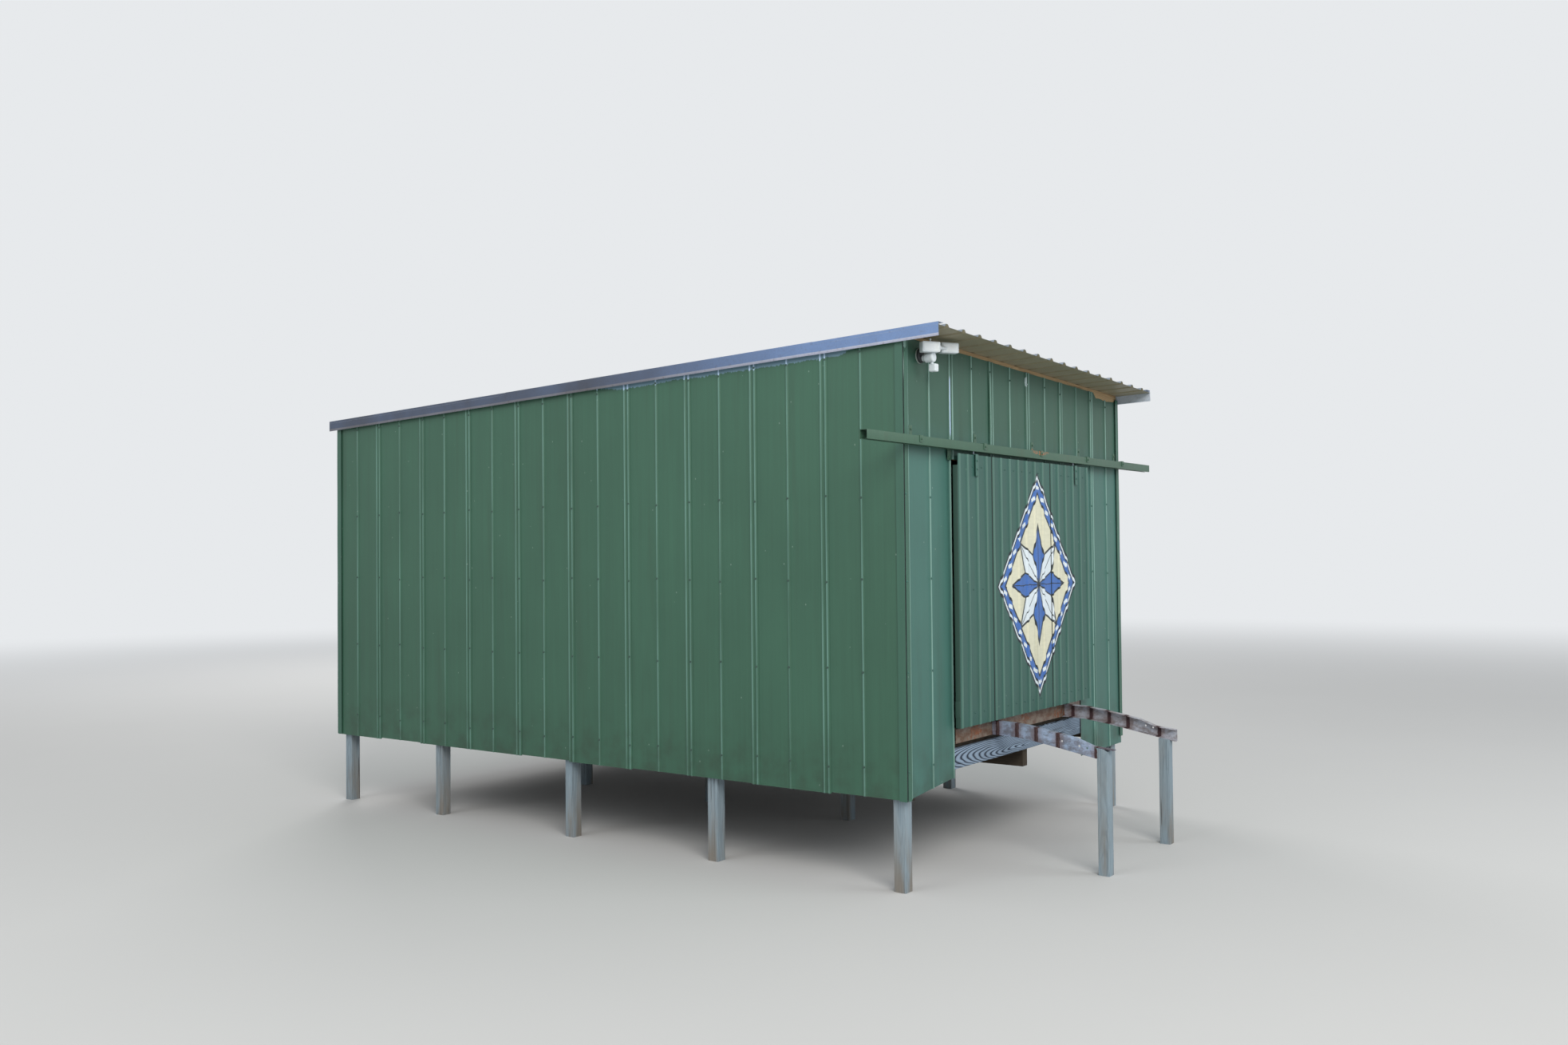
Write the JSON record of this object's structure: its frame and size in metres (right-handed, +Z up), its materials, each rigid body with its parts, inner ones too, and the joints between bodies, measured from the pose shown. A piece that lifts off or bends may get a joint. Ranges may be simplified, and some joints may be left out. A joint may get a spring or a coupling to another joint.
{
  "type": "boathouse",
  "caption": "Metal-clad boathouse on timber posts, with a low sloping roof, a sliding door and a pair of ramp rails for boats.",
  "frame": {"origin": "on the lowest ground, under the middle of the whole part's box", "axes": "+Z up, -Y the way the door faces, +X to the right of someone who faces the door"},
  "size_m": [4.788, 7.1133, 3.7224],
  "materials": {
    "green_sheet": "satin, weathered",
    "green_steel": "satin, weathered",
    "galvanised": "dull zinc",
    "rusty_steel": "rusty zinc",
    "grey_timber": "weathered, rough sawn",
    "raw_timber": "sawn",
    "inner_timber": "sawn",
    "white_plastic": "matte",
    "black_plastic": "matte"
  },
  "bodies": {
    "building": {"left_posts": "grey_timber", "right_posts": "grey_timber", "middle_posts": "grey_timber", "left_girder": "raw_timber", "right_girder": "raw_timber", "middle_girder": "raw_timber", "front_rim_joist": "grey_timber", "rim_joists": "raw_timber", "floor_joists": "raw_timber", "floor_deck": "raw_timber", "left_girts": "inner_timber", "right_girts": "inner_timber", "rear_girts": "inner_timber", "front_girts": "inner_timber", "door_jambs": "inner_timber", "door_header": "inner_timber", "side_rafters": "inner_timber", "middle_rafter": "inner_timber", "end_beams": "inner_timber", "purlins": "raw_timber", "roof_sheets": "galvanised", "left_rake_trim": "galvanised", "right_rake_trim": "galvanised", "left_wall_sheets": "green_sheet", "right_wall_sheets": "green_sheet", "rear_wall_sheets": "green_sheet", "front_left_sheets": "green_sheet", "front_right_sheets": "green_sheet", "front_upper_sheets": "green_sheet", "corner_trims": "green_sheet", "sill_channel": "rusty_steel", "left_ramp_rail": "galvanised", "right_ramp_rail": "galvanised", "left_ramp_post": "grey_timber", "right_ramp_post": "grey_timber", "door_track": "green_steel", "track_brackets": "green_steel", "lamp_base": "black_plastic", "lamp_heads": "white_plastic", "lamp_sensor": "white_plastic"},
    "door": {"door_frame": "green_steel", "door_sheets": "green_sheet", "door_hangers": "green_steel", "door_trolleys": "galvanised", "door_edge_bracket": "green_steel"}
  },
  "joints": [
    {"name": "door_slide", "type": "slide", "parent": "building", "child": "door", "axis": [1, 0, 0], "range_m": [-1.35, 1.55]}
  ]
}
